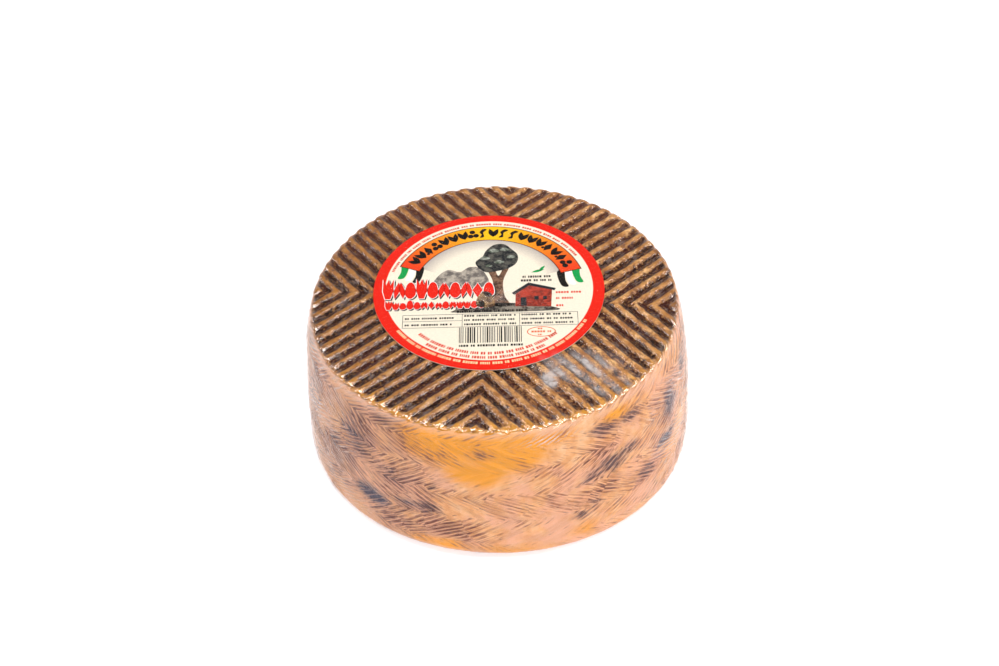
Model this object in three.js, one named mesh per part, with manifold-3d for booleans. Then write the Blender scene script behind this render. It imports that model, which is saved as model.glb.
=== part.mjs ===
// A whole wheel of cured goat cheese. Both faces carry the herringbone of the press boards, the side carries
// the print of a plaited grass band, and a round paper label lies on the top.
// Millimetres, +Z up. The origin is the middle of the base, on the surface that the wheel stands on,
// and -Y is the front.

import * as THREE from 'three';
import Module from 'manifold-3d';
import { mergeVertices } from 'three/addons/utils/BufferGeometryUtils.js';

const wasm = await Module();
wasm.setup();

// Wheel: a barrel that has settled, wider at the foot than at the top rim
const TOP_RADIUS = 75;
const WHEEL_HEIGHT = 70.2;
const FOOT_SPREAD = 4.6;
const BARREL_SWELL = 1.5;
const FOOT_ROUND = 4.5;
const FOOT_STEPS = 3;
const RIM_ROUND = 2.0;
const RIM_STEPS = 2;

// How far the side strays from a true circle: waves of two and of three humps round the wheel
const TWO_HUMPS = 1.12;
const TWO_HUMPS_AT = THREE.MathUtils.degToRad(-26);
const THREE_HUMPS = 0.7;
const THREE_HUMPS_AT = THREE.MathUtils.degToRad(-28);

// Herringbone on the faces: straight grooves at about 45 degrees in four quarters, meeting in chevrons
const PATTERN_TURN = THREE.MathUtils.degToRad(-6.7);
const PATTERN_CENTRE = new THREE.Vector2(-0.2, 1.1);
const GROOVE_SLANT = THREE.MathUtils.degToRad(46.7);
const GROOVE_PITCH = 5.77;
const FIRST_GROOVE = 4.15;
const GROOVE_WIDTH = 3.5;
const GROOVE_FLOOR_WIDTH = 1.5;
const GROOVE_DEPTH = 1.3;
const BASE_GROOVE_DEPTH = 0.8;
const GROOVE_ARM = 225;
const LEAST_APEX = 0.05;

// Plait print on the side: rows of leaning grass strands, each row leaning against the next
const STRANDS = 126;
const STRAND_RELIEF = 0.3;
const ROW_HEIGHT = 13.7;
const ROW_EDGE_AT = 62.4;
const STRAND_LEAN = THREE.MathUtils.degToRad(31);
const ROW_CLEAR_OF_EDGES = 2;

// Label: thin paper on the ridges, a little behind the wheel's middle
const LABEL_RADIUS = 48;
const LABEL_THICKNESS = 0.3;
const LABEL_CENTRE = new THREE.Vector2(-2.1, 5.7);
const LABEL_GAP = 0.3;
const LABEL_SEGMENTS = 96;

// Points closer than this are one point
const SAME_POINT = 1e-4;

// Colours of the finishes
const RIND_COLOUR = 0xb98545;
const PAPER_COLOUR = 0xf4e8d2;

// The side's mean radius at a height, before the edges are rounded
function sideRadius(z) {
  const share = z / WHEEL_HEIGHT;
  return TOP_RADIUS + FOOT_SPREAD * (1 - share) + BARREL_SWELL * 4 * share * (1 - share);
}

// The wheel's outline from the middle of the base, round the foot, up the side and in over the rim
function wheelProfile() {
  const profile = [new THREE.Vector2(0, 0)];
  for (let step = 0; step <= FOOT_STEPS; step += 1) {
    const angle = step / FOOT_STEPS * Math.PI / 2;
    const z = FOOT_ROUND * (1 - Math.cos(angle));
    profile.push(new THREE.Vector2(sideRadius(z) - FOOT_ROUND * (1 - Math.sin(angle)), z));
  }
  const lowest = FOOT_ROUND + ROW_CLEAR_OF_EDGES;
  const highest = WHEEL_HEIGHT - RIM_ROUND - ROW_CLEAR_OF_EDGES;
  const halfRow = ROW_HEIGHT / 2;
  for (let z = lowest + (ROW_EDGE_AT - lowest) % halfRow; z < highest; z += halfRow) {
    profile.push(new THREE.Vector2(sideRadius(z), z));
  }
  for (let step = 0; step <= RIM_STEPS; step += 1) {
    const angle = step / RIM_STEPS * Math.PI / 2;
    const z = WHEEL_HEIGHT - RIM_ROUND * (1 - Math.sin(angle));
    profile.push(new THREE.Vector2(sideRadius(z) - RIM_ROUND * (1 - Math.cos(angle)), z));
  }
  profile.push(new THREE.Vector2(0, WHEEL_HEIGHT));
  return profile;
}

// How far round the wheel a strand has moved at a height, as a zigzag from row to row
function plaitTurn(z) {
  const along = Math.abs(z - ROW_EDGE_AT) / ROW_HEIGHT;
  const folded = Math.abs(along - 2 * Math.round(along / 2));
  return folded * ROW_HEIGHT / Math.tan(STRAND_LEAN) / sideRadius(z);
}

// A share that is 0 in the flat faces and 1 on the side, so that the relief dies out over the edges
function sideShare(radius, z) {
  const overRim = THREE.MathUtils.smoothstep(radius, TOP_RADIUS - RIM_ROUND, TOP_RADIUS);
  const overFoot = THREE.MathUtils.smoothstep(z, 0, FOOT_ROUND);
  return overRim * overFoot;
}

// Turns and lifts a plain turned wheel's points into the strands and the uneven side
function pressPlait(geometry) {
  const position = geometry.attributes.position;
  const levels = geometry.parameters.points.length;
  for (let index = 0; index < position.count; index += 1) {
    const column = Math.floor(index / levels) % (2 * STRANDS);
    const z = position.getZ(index);
    const radius = Math.hypot(position.getX(index), position.getY(index));
    if (radius > 0) {
      const share = sideShare(radius, z);
      const angle = column * Math.PI / STRANDS + plaitTurn(z);
      const strand = (column % 2 ? 1 : -1) * STRAND_RELIEF;
      const humps = TWO_HUMPS * Math.cos(2 * (angle - TWO_HUMPS_AT))
        + THREE_HUMPS * Math.cos(3 * (angle - THREE_HUMPS_AT));
      const pressed = radius + share * (strand + humps);
      position.setXY(index, pressed * Math.cos(angle), pressed * Math.sin(angle));
    }
  }
  return geometry;
}

// A closed solid from a geometry whose matching points are merged and whose collapsed faces are dropped
function solidOf(geometry) {
  const bare = geometry.clone();
  bare.deleteAttribute('normal');
  bare.deleteAttribute('uv');
  const merged = mergeVertices(bare, SAME_POINT);
  const faces = [];
  const index = merged.index.array;
  for (let at = 0; at < index.length; at += 3) {
    const [a, b, c] = [index[at], index[at + 1], index[at + 2]];
    if (a !== b && b !== c && c !== a) {
      faces.push(a, b, c);
    }
  }
  return new wasm.Manifold(new wasm.Mesh({
    numProp: 3,
    vertProperties: new Float32Array(merged.attributes.position.array),
    triVerts: new Uint32Array(faces),
  }));
}

// Back from a closed solid to a geometry
function geometryOf(solid) {
  const mesh = solid.getMesh();
  const geometry = new THREE.BufferGeometry();
  geometry.setAttribute('position', new THREE.BufferAttribute(mesh.vertProperties, 3));
  geometry.setIndex(new THREE.BufferAttribute(mesh.triVerts, 1));
  geometry.computeVertexNormals();
  return geometry;
}

// Turns a point of the pattern's own axes into the wheel's
function fromPattern(x, y) {
  return new THREE.Vector2(x, y).rotateAround(new THREE.Vector2(0, 0), PATTERN_TURN).add(PATTERN_CENTRE);
}

// One chevron groove as a solid to cut with: a trough with three stations, arm end, apex and arm end.
// Its apex lies on the pattern's X axis (side 'x') or Y axis (side 'y'), and its arms open outwards.
function chevron(distance, side, sign, faceZ, depth) {
  const floorZ = faceZ + depth;
  const roofZ = faceZ - depth;
  const floorHalf = GROOVE_FLOOR_WIDTH / 2;
  const roofHalf = GROOVE_WIDTH - floorHalf;
  const walls = [[-roofHalf, roofZ], [-floorHalf, floorZ], [floorHalf, floorZ], [roofHalf, roofZ]];
  const cos = Math.cos(GROOVE_SLANT);
  const sin = Math.sin(GROOVE_SLANT);
  const points = [];
  for (const station of [-1, 0, 1]) {
    for (const [offset, z] of walls) {
      const reach = Math.max(distance + offset, LEAST_APEX);
      const apex = side === 'x' ? [reach / sin, 0] : [0, reach / cos];
      const along = side === 'x' ? [cos, station * sin] : [station * cos, sin];
      const travel = Math.abs(station) * GROOVE_ARM;
      const flat = fromPattern(sign * (apex[0] + travel * along[0]), sign * (apex[1] + travel * along[1]));
      points.push(flat.x, flat.y, z);
    }
  }
  const faces = [0, 1, 2, 0, 2, 3, 8, 10, 9, 8, 11, 10];
  for (const base of [0, 4]) {
    for (let wall = 0; wall < 4; wall += 1) {
      const a = base + wall;
      const b = base + (wall + 1) % 4;
      faces.push(a, a + 4, b, b, a + 4, b + 4);
    }
  }
  const geometry = new THREE.BufferGeometry();
  geometry.setAttribute('position', new THREE.Float32BufferAttribute(points, 3));
  geometry.setIndex(faces);
  return outwards(geometry);
}

// The same geometry with its faces pointing out, whichever way round they came
function outwards(geometry) {
  const position = geometry.attributes.position;
  const index = geometry.index.array;
  const [a, b, c] = [new THREE.Vector3(), new THREE.Vector3(), new THREE.Vector3()];
  let volume = 0;
  for (let at = 0; at < index.length; at += 3) {
    a.fromBufferAttribute(position, index[at]);
    b.fromBufferAttribute(position, index[at + 1]);
    c.fromBufferAttribute(position, index[at + 2]);
    volume += a.dot(b.cross(c));
  }
  if (volume < 0) {
    geometry.setIndex(Array.from(index).reverse());
  }
  return geometry;
}

// All the chevron grooves of one face, cut out of the wheel
function cutHerringbone(wheel, faceZ, depth) {
  let cut = wheel;
  const sides = [
    { side: 'x', first: FIRST_GROOVE, last: TOP_RADIUS * Math.sin(GROOVE_SLANT) },
    { side: 'y', first: GROOVE_PITCH - FIRST_GROOVE, last: TOP_RADIUS * Math.cos(GROOVE_SLANT) },
  ];
  for (const { side, first, last } of sides) {
    for (let distance = first; distance < last; distance += GROOVE_PITCH) {
      for (const sign of [-1, 1]) {
        cut = cut.subtract(solidOf(chevron(distance, side, sign, faceZ, depth)));
      }
    }
  }
  return cut;
}

// The wheel: turned to its profile, pressed with the plait, then grooved on the top and on the base
function cheeseWheel() {
  const turned = new THREE.LatheGeometry(wheelProfile(), 2 * STRANDS);
  turned.rotateX(Math.PI / 2);
  let wheel = solidOf(outwards(pressPlait(turned)));
  wheel = cutHerringbone(wheel, WHEEL_HEIGHT, -GROOVE_DEPTH);
  wheel = cutHerringbone(wheel, 0, BASE_GROOVE_DEPTH);
  const material = new THREE.MeshStandardMaterial({ color: RIND_COLOUR, roughness: 0.45, metalness: 0 });
  const mesh = new THREE.Mesh(geometryOf(wheel), material);
  mesh.name = 'cheese_wheel';
  return mesh;
}

// The label: a thin paper disc
function topLabel() {
  const profile = [
    new THREE.Vector2(0, 0),
    new THREE.Vector2(LABEL_RADIUS, 0),
    new THREE.Vector2(LABEL_RADIUS, LABEL_THICKNESS),
    new THREE.Vector2(0, LABEL_THICKNESS),
  ];
  const turned = new THREE.LatheGeometry(profile, LABEL_SEGMENTS);
  turned.rotateX(Math.PI / 2);
  const material = new THREE.MeshStandardMaterial({ color: PAPER_COLOUR, roughness: 0.5, metalness: 0 });
  const mesh = new THREE.Mesh(geometryOf(solidOf(outwards(turned))), material);
  mesh.name = 'top_label';
  mesh.position.set(LABEL_CENTRE.x, LABEL_CENTRE.y, WHEEL_HEIGHT + LABEL_GAP);
  return mesh;
}

const cheese = new THREE.Group();
cheese.add(cheeseWheel());
cheese.add(topLabel());

export default cheese;
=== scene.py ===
import math
import random

import bpy
import numpy as np
from mathutils import Matrix, Vector, noise


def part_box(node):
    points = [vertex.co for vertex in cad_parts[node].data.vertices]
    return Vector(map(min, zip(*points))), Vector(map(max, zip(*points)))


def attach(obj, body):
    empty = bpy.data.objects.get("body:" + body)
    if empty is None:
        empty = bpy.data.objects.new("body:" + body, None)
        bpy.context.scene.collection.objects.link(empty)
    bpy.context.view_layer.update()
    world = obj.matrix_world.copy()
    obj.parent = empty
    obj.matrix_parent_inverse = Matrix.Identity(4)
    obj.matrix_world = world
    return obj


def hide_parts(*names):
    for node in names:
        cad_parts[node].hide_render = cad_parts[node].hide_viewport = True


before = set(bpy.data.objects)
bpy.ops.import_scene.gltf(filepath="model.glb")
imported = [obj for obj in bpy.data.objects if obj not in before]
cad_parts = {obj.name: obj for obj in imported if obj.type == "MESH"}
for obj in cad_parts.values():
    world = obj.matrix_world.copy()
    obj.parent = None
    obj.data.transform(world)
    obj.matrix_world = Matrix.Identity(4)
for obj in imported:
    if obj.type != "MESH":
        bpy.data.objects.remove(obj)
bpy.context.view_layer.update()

# The wheel: a whole cured goat cheese, pressed between herringbone boards inside a plaited grass band, then
# ripened until its rind is golden and dark mould has settled in the grooves. Lengths are in millimetres.
MM = 0.001
WHEEL_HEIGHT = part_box("cheese_wheel")[1][2] / MM
TOP_RADIUS = 75.0
FOOT_SPREAD = 4.6
BARREL_SWELL = 1.5
FOOT_ROUND = 4.5
RIM_ROUND = 1.2
TOP_EDGE = 74.5
BASE_LIFT = 0.15

PATTERN_TURN = math.radians(-6.7)
PATTERN_CENTRE = np.array([-0.2, 1.1])
SLANT = math.radians(46.7)
PITCH = 5.77
FIRST_CREST = 1.26
GROOVE_DEPTH = 1.3
BASE_GROOVE_DEPTH = 0.8

STRANDS = 126
STRAND_RELIEF = 0.13
ROW_HEIGHT = 13.7
ROW_EDGE = 62.4
STRAND_LEAN = math.radians(31)
MEAN_RADIUS = 77.0

LABEL_CENTRE = np.array([-2.1, 5.7])
UNDER_LABEL = 44.0


def smooth(low, high, value):
    """0 before low, 1 after high, and an S-curve between."""
    share = np.clip((value - low) / (high - low), 0, 1)
    return share * share * (3 - 2 * share)


def wander(points, size, seed):
    """Smooth noise from about -1 to 1 at points in millimetres, in lumps of the given size."""
    shift = Vector((seed * 7.31, seed * 3.17, seed * 5.71))
    return np.array([noise.noise(Vector(p) / size + shift) for p in points])


def side_radius(z):
    share = z / WHEEL_HEIGHT
    return TOP_RADIUS + FOOT_SPREAD * (1 - share) + BARREL_SWELL * 4 * share * (1 - share)


def humps(angle, z):
    """How far the side strays from a true circle below the rim, at an angle round the wheel."""
    two = 1.12 * math.cos(2 * (angle - math.radians(-26)))
    three = 0.7 * math.cos(3 * (angle - math.radians(-28)))
    return (two + three) * float(smooth(WHEEL_HEIGHT, WHEEL_HEIGHT - 10, z))


def strand_row(z):
    """The row of the plait at a height, counted from the rim down."""
    return np.clip(np.floor((ROW_EDGE - z) / ROW_HEIGHT) + 1, 0, 5)


def plait_turn(z):
    """How far round the wheel a grass strand has moved at a height, in radians."""
    along = abs(z - ROW_EDGE) / ROW_HEIGHT
    folded = abs(along - 2 * round(along / 2))
    return folded * ROW_HEIGHT / math.tan(STRAND_LEAN) / side_radius(z)


def to_circle(start, way, radius):
    """Length from start along way to a circle round the origin."""
    ahead = start @ way
    return max(0.0, -ahead + math.sqrt(max(0.0, ahead * ahead - start @ start + radius * radius)))


def half_quarters(steps, hidden, seen):
    """The eight half quarters of a face, as grids whose rows run along the ridges.

    Yields the points, their signed distance across the ridges, and whether the grid turns anticlockwise.
    """
    turn = np.array([[math.cos(PATTERN_TURN), -math.sin(PATTERN_TURN)],
                     [math.sin(PATTERN_TURN), math.cos(PATTERN_TURN)]])
    cos, sin = math.cos(SLANT), math.sin(SLANT)
    for axis in "xy":
        for sign in (-1, 1):
            for flip in (-1, 1):
                out = turn @ ((sign, 0) if axis == "x" else (0, sign))
                arm = turn @ ((sign * cos, flip * sin) if axis == "x" else (flip * cos, sign * sin))
                scale = sin if axis == "x" else cos
                reach = to_circle(PATTERN_CENTRE, out, TOP_EDGE) * scale
                grid = np.zeros((steps + 1, hidden + seen + 1, 2))
                across = np.zeros((steps + 1, hidden + seen + 1))
                for step in range(steps + 1):
                    distance = reach * step / steps
                    start = PATTERN_CENTRE + out * distance / scale
                    length = to_circle(start, arm, TOP_EDGE)
                    split = hidden / (hidden + seen)
                    away = start - LABEL_CENTRE
                    if length > 0 and away @ away < UNDER_LABEL ** 2:
                        split = max(split, to_circle(away, arm, UNDER_LABEL) / length)
                    shares = np.concatenate([np.linspace(0, split, hidden + 1)[:-1],
                                             np.linspace(split, 1, seen + 1)])
                    grid[step] = start + arm * (length * shares)[:, None]
                    across[step] = distance if axis == "x" else -distance
                yield grid, across, out[0] * arm[1] - out[1] * arm[0] > 0


class Skin:
    """The smooth skin of the whole wheel: points, outward normals, faces, and what lies where on it."""

    def __init__(self, steps, hidden, seen, base_seen, side_levels):
        self.points, self.normals, self.faces = [], [], []
        self.fields = {"across": [], "strand": [], "face": [], "height": [], "base": []}
        top_rim = self.add_face(steps, hidden, seen, False)
        base_rim = self.add_face(steps, 2, base_seen, True)
        self.columns = len(top_rim)
        self.rim_angles = [self.turned(i) for i in top_rim]
        self.rim_across = [self.fields["across"][i] for i in top_rim]
        ring = top_rim
        for z, radius, slope, face in self.levels(side_levels):
            ring = self.add_ring(ring, z, radius, slope, face)
        self.join(ring, base_rim)
        self.points = np.array(self.points)
        self.normals = np.array(self.normals)
        for name, values in self.fields.items():
            self.fields[name] = np.array(values)
        self.angle = np.arctan2(self.points[:, 1], self.points[:, 0])
        self.radius = np.hypot(self.points[:, 0], self.points[:, 1])

    def turned(self, at):
        """A point's angle round the wheel, counted from the back, so that the count starts out of sight."""
        x, y = self.points[at][:2]
        return math.pi / 2 + math.atan2(-x, y) % (2 * math.pi)

    def add_point(self, point, normal, *values):
        self.points.append(point)
        self.normals.append(normal)
        for name, value in zip(self.fields, values):
            self.fields[name].append(value)
        return len(self.points) - 1

    def add_face(self, steps, hidden, seen, under):
        """The top face, or the base, and the points of its edge in order round the wheel."""
        scale = (side_radius(0) - FOOT_ROUND) / TOP_EDGE if under else 1
        found, rim = {}, set()
        for grid, across, anticlockwise in half_quarters(steps, hidden, seen):
            ids = np.zeros(across.shape, int)
            for (row, column), distance in np.ndenumerate(across):
                x, y = grid[row, column] * scale
                key = (round(x, 3), round(y, 3))
                if key not in found:
                    add_one = self.add_base_point if under else self.add_top_point
                    found[key] = add_one(x, y, distance)
                ids[row, column] = found[key]
            rim.update(int(i) for i in ids[:, -1])
            for row in range(steps):
                for column in range(hidden + seen):
                    corners = [ids[row, column], ids[row + 1, column],
                               ids[row + 1, column + 1], ids[row, column + 1]]
                    if anticlockwise == under:
                        corners.reverse()
                    self.add_polygon(corners)
        return sorted(rim, key=self.turned)

    def add_base_point(self, x, y, across):
        radius = math.hypot(x, y)
        out = 1 + humps(math.atan2(y, x), 0) * float(smooth(45, TOP_EDGE, radius)) / max(radius, 1)
        return self.add_point((x * out, y * out, BASE_LIFT), (0, 0, -1), across, 0.0, 1.0, 0.0, 1.0)

    def add_top_point(self, x, y, across):
        radius = math.hypot(x, y)
        over = max(0.0, radius - TOP_RADIUS + RIM_ROUND) / RIM_ROUND
        upright = math.sqrt(1 - over ** 2)
        normal = (over * x / max(radius, 1), over * y / max(radius, 1), upright)
        z = WHEEL_HEIGHT - RIM_ROUND * (1 - upright)
        return self.add_point((x, y, z), normal, across, 0.0, 1.0, WHEEL_HEIGHT, 0.0)

    def add_polygon(self, corners):
        kept = [int(corner) for at, corner in enumerate(corners) if corner != corners[at - 1]]
        if len(set(kept)) > 2:
            self.faces.append(kept)

    def levels(self, count):
        """Heights, radii, upward slopes and face shares of the rings from the rim down to the foot."""
        for turn, face in ((52, 0.85), (71, 0.6), (90, 0.35)):
            angle = math.radians(turn)
            z = WHEEL_HEIGHT - RIM_ROUND * (1 - math.cos(angle))
            yield z, side_radius(z) - RIM_ROUND * (1 - math.sin(angle)), math.cos(angle), face
        top = WHEEL_HEIGHT - RIM_ROUND
        heights = list(np.linspace(top, FOOT_ROUND, count)[1:])
        for row in range(5):
            edge = ROW_EDGE - ROW_HEIGHT * row
            nearest = min(range(len(heights)), key=lambda at: abs(heights[at] - edge))
            heights[nearest] = max(edge, FOOT_ROUND)
        for z in heights:
            yield z, side_radius(z), 0.0, 0.35 * float(smooth(top - 3, top, z))
        for turn in (70, 50, 30, 14):
            angle = math.radians(turn)
            z = FOOT_ROUND * (1 - math.cos(angle))
            yield z, side_radius(z) - FOOT_ROUND * (1 - math.sin(angle)), -math.cos(angle), 0.0

    def add_ring(self, above, z, radius, slope, face):
        """One ring of the side, whose points follow the leaning strands."""
        drift = (plait_turn(0) - plait_turn(WHEEL_HEIGHT)) * (1 - z / WHEEL_HEIGHT)
        lean = plait_turn(z) - plait_turn(WHEEL_HEIGHT) - drift
        between = math.sin(math.pi * z / WHEEL_HEIGHT)
        flat = math.sqrt(1 - slope * slope)
        ring = []
        for angle, across in zip(self.rim_angles, self.rim_across):
            here = angle + lean
            here += 0.03 * between * (math.sin(5 * here + z / 6) + 0.7 * math.sin(8 * here - z / 8 + 1))
            out = radius + humps(here, z)
            height = z + between * (math.sin(3 * here + 1 + z / 30) + 0.8 * math.sin(7 * here + 2 - z / 16)
                                    + 0.6 * math.sin(13 * here + z / 11))
            point = (out * math.cos(here), out * math.sin(here), max(height, BASE_LIFT))
            normal = (flat * math.cos(here), flat * math.sin(here), slope)
            strand = (angle - plait_turn(WHEEL_HEIGHT)) * STRANDS / (2 * math.pi)
            ring.append(self.add_point(point, normal, across, strand, face, z, 0.0))
        self.join(above, ring)
        return ring

    def join(self, above, below):
        for at in range(self.columns):
            after = (at + 1) % self.columns
            self.add_polygon([above[at], below[at], below[after], above[after]])

    def mesh(self, name, relief, attributes):
        """A piece of the skin moved along its normals, with per-point values for its material."""
        moved = (self.points + self.normals * relief[:, None]) * MM
        made = bpy.data.meshes.new(name)
        made.from_pydata(moved.tolist(), [], self.faces)
        for key, values in attributes.items():
            layer = made.attributes.new(key, "FLOAT", "POINT")
            layer.data.foreach_set("value", np.asarray(values, np.float32))
        made.shade_smooth()
        made.validate()
        piece = bpy.data.objects.new(name, made)
        bpy.context.collection.objects.link(piece)
        return piece


def ridges(skin, seed):
    """Distance in millimetres from the nearest crest line, uneven as pressed curd is."""
    phase = (skin.fields["across"] - FIRST_CREST) / PITCH
    exact = np.abs(phase - np.round(phase)) * PITCH
    return exact + 0.3 * wander(skin.points, 1.5, seed) + 0.35 * wander(skin.points, 6, seed + 1)


def unevenness(skin):
    """Swells and lumps of the side, in millimetres, which the film follows too."""
    return 0.14 * wander(skin.points, 2.2, 3) + 0.35 * wander(skin.points, 9, 5)


rind_skin = Skin(steps=150, hidden=4, seen=26, base_seen=8, side_levels=30)
dice = np.random.default_rng(11)
spots = rind_skin.points
height = rind_skin.fields["height"]
base = rind_skin.fields["base"] > 0
face = rind_skin.fields["face"]
side = 1 - face
off_crest = ridges(rind_skin, 1)
groove = smooth(0.6, 2.1, off_crest)
depth = np.where(base, BASE_GROOVE_DEPTH, GROOVE_DEPTH * (1 - 0.4 * smooth(69, 75, rind_skin.radius)))
pressed = -depth * face * (groove + 0.08 * np.minimum(off_crest, 1.1) ** 2)
pressed += face * (0.12 * wander(spots, 2.2, 3) + 0.25 * groove * wander(spots, 1.2, 4))

# The plait: a strand number and the share across it, bent a little, and its row counted from the rim down.
place = rind_skin.fields["strand"] + 0.3 * wander(spots, 12, 31) + 0.12 * wander(spots, 4, 32)
row = strand_row(height).astype(int)
cell = np.floor(place).astype(int)
valley = np.abs(2 * (place - cell) - 1)
strand_height = dice.uniform(0.5, 1.35, (200, 6))[cell % 200, row]
strand_tone = dice.uniform(-1, 1, (200, 6))[cell % 200, row]
row_share = (ROW_EDGE - height) / ROW_HEIGHT
crease = np.exp(-(np.abs(row_share - np.round(row_share)) * ROW_HEIGHT / 0.9) ** 2)
crisp = 0.3 + 0.7 * smooth(-0.35, 0.3, wander(spots, 14, 33))
plaited = STRAND_RELIEF * strand_height * crisp * (1 - 1.7 * valley ** 2.2) - 0.15 * crease * crisp
relief = pressed + (plaited + unevenness(rind_skin)) * side * smooth(0, FOOT_ROUND + 3, height)
relief = np.where(base, np.minimum(relief, 0.0), relief)

# Marks on the side: bearing in degrees, height, half width, half height, and strength. Mould stains, the
# blue among them, patches thick with brown strokes, patches bare of them, and sunny patches. Those at the
# back, which the photo doesn't show, are drawn at random. Widths are taken round a circle of MARK_RADIUS.
MARK_RADIUS = 76.0
MOULD = [
    (-131, 20.6, 10, 5, 1.4), (-112, 25.5, 4.5, 3.5, 1.5), (-110, 38, 1.8, 1.4, 1.5), (-119, 24, 8, 3.5, 1.0),
    (-127, 64, 5, 2, 1.0), (-137, 49, 9, 3.5, 1.0), (-123, 37.5, 9, 6, 0.8), (-95.5, 57, 4.5, 2.5, 0.8),
    (-58, 59.5, 7, 3.0, 1.25), (-48, 59.3, 6, 3.2, 1.15), (-56, 40.3, 7, 4.5, 1.3),
    (-63, 37.5, 3.5, 3.5, 1.15), (-50, 43.5, 6, 3.5, 1.0), (-66, 18, 2.8, 1.8, 1.4),
    (-33, 31.6, 7, 3.5, 1.25), (-30, 48, 6, 11, 1.1), (-62, 23, 4, 4, 0.85), (-42, 23, 7, 4, 0.8),
    (-147, 36, 7, 9, 0.8), (-135, 42, 10, 5, 0.7), (-19, 55, 4, 7, 1.15), (-12, 36, 3, 6, 1.0),
    (-24, 12, 4, 5, 0.7), (-160, 54, 6, 8, 0.8),
]
BLUE = [(-131, 20.6, 9, 6, 1.2), (-118, 26, 8, 5, 0.6), (-140, 49, 10, 6, 0.5), (-33, 31, 9, 5, 1.0),
        (-29, 48, 8, 10, 0.7), (-57, 40, 8, 5, 0.35)]
STROKES = [
    (-105, 16, 16, 6, 1.0), (-123, 37, 12, 10, 1.0), (-107, 52, 9, 6, 0.7), (-96, 57, 7, 3.5, 0.9),
    (-58, 29, 9, 6, 1.0), (-60, 50, 10, 9, 0.8), (-71, 45, 8, 7, 0.6), (-42, 23, 10, 7, 0.9),
    (-135, 50, 15, 14, 0.9), (-76, 30, 12, 8, 0.4), (-85, 17, 10, 6, 0.5), (-125, 12, 12, 6, 0.8),
    (-143, 30, 12, 14, 0.8), (-38, 40, 12, 14, 0.6), (-92, 33, 14, 5, 0.45), (-14, 50, 13, 14, 1.0),
    (-14, 20, 10, 12, 0.8), (-165, 50, 14, 16, 0.6), (-160, 25, 12, 10, 0.7),
]
CALM = [(-96, 53, 13, 9, 1.1), (-75, 17, 12, 8, 0.8), (-45, 12, 9, 7, 0.4), (-77, 58, 7, 6, 1.0),
        (-138, 8, 10, 6, 0.7), (-84, 40, 9, 6, 0.8), (-66, 60, 6, 5, 0.6)]
SUNNY = [
    (-108, 62, 18, 11, 1.3), (-90, 60, 16, 12, 1.6), (-97, 48, 13, 8, 1.0), (-90, 36, 7, 6, 0.35),
    (-73, 63, 8, 4, 0.9), (-53, 63, 8, 4, 1.0), (-85, 5, 16, 5, 0.55), (-108, 6, 18, 4, 0.7),
    (-66, 10, 8, 5, 0.7),
]
for bearing in range(5, 200, 15):
    spot = (bearing + dice.uniform(-6, 6), dice.uniform(12, 60), dice.uniform(4, 10), dice.uniform(2.5, 6.5))
    MOULD.append((*spot, dice.uniform(0.5, 1.3)))
    STROKES.append((spot[0] + 5, spot[1] + dice.uniform(-14, 14), 9, 7, dice.uniform(0.5, 1)))
    if bearing % 4 == 0:
        BLUE.append((*spot, 1.0))
        SUNNY.append((spot[0] - 7, dice.choice((8, 60)), 14, 8, 1.0))


def marked(skin, marks):
    """How strongly each point of the side lies in the nearest of some marks."""
    strength = np.zeros(len(skin.points))
    for bearing, middle, half_width, half_height, force in marks:
        turn = np.angle(np.exp(1j * (skin.angle - math.radians(bearing))))
        away = (turn * MARK_RADIUS / half_width) ** 2 + ((skin.points[:, 2] - middle) / half_height) ** 2
        strength = np.maximum(strength, force * np.exp(-away))
    return strength


patchy = wander(spots, 7, 6)
mould = marked(rind_skin, MOULD) * (1 + 0.45 * wander(spots, 3, 9)) * smooth(0.5, 0.9, side)
blue = smooth(0.2, 0.8, marked(rind_skin, BLUE))
crowd = 0.12 + 0.7 * wander(spots, 16, 7) + 0.5 * patchy
crowd += marked(rind_skin, STROKES) - marked(rind_skin, CALM)
crowd = np.clip(crowd, -0.5, 1) * smooth(0, 6, height) * side

# Golden rind: sunny patches on the side, and the front of the rim, where the grooves end short. At the front
# of the rim the gold is also a painted glow of light shining through the edge.
sunny = smooth(0.2, 0.75, marked(rind_skin, SUNNY) * (1 + 0.5 * wander(spots, 9, 10)) + 0.12 * patchy) * side
front = smooth(0.2, 0.9, -np.sin(rind_skin.angle))
rim = front * smooth(69, 74.5, rind_skin.radius + 1.5 * wander(spots, 5, 15)) * face
gold_and_glow = np.clip(sunny + rim, 0, 1)
end = 74.6 - 2.6 * front + 1.6 * wander(spots, 2.6, 13)

# The dark in the grooves: one black fleck with bare crests round it, and two places where it is paler.
from_fleck = np.hypot(spots[:, 0] - 46.3, spots[:, 1] + 44.8)
fleck = 1.4 * np.exp(-(from_fleck / 1.5) ** 2) * face * ~base
thinned = 0.75 * np.exp(-(from_fleck / 7) ** 2)
for x, y, reach, force in ((14, -60, 12, 0.4), (32, -49, 21, 0.35)):
    away = np.hypot(spots[:, 0] - x, spots[:, 1] - y)
    thinned += force * np.exp(-(away / reach) ** 2)
thinned = 1 - np.clip(thinned, 0, 0.8) * ~base
inked = np.maximum(groove * thinned, fleck) * np.where(base, 0.8, smooth(end + 1.4, end - 1.4, rind_skin.radius))
# Browner towards the left, on the top and the side: partly browner rind and partly painted shade, as less
# light falls on that side.
brown_and_shade = smooth(-0.2, 0.9, -np.cos(rind_skin.angle)) * smooth(0, 60, rind_skin.radius)

cheese = rind_skin.mesh("cheese_rind", relief, {
    "groove": inked * smooth(0.3, 0.9, face), "side": smooth(0.1, 0.7, side), "crowd": crowd,
    "tone": strand_tone * side, "mould": mould, "blue": blue, "gold_and_glow": gold_and_glow, "brown_and_shade": brown_and_shade,
    "across": rind_skin.fields["across"],
})
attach(cheese, "root")
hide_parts("cheese_wheel")


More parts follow.
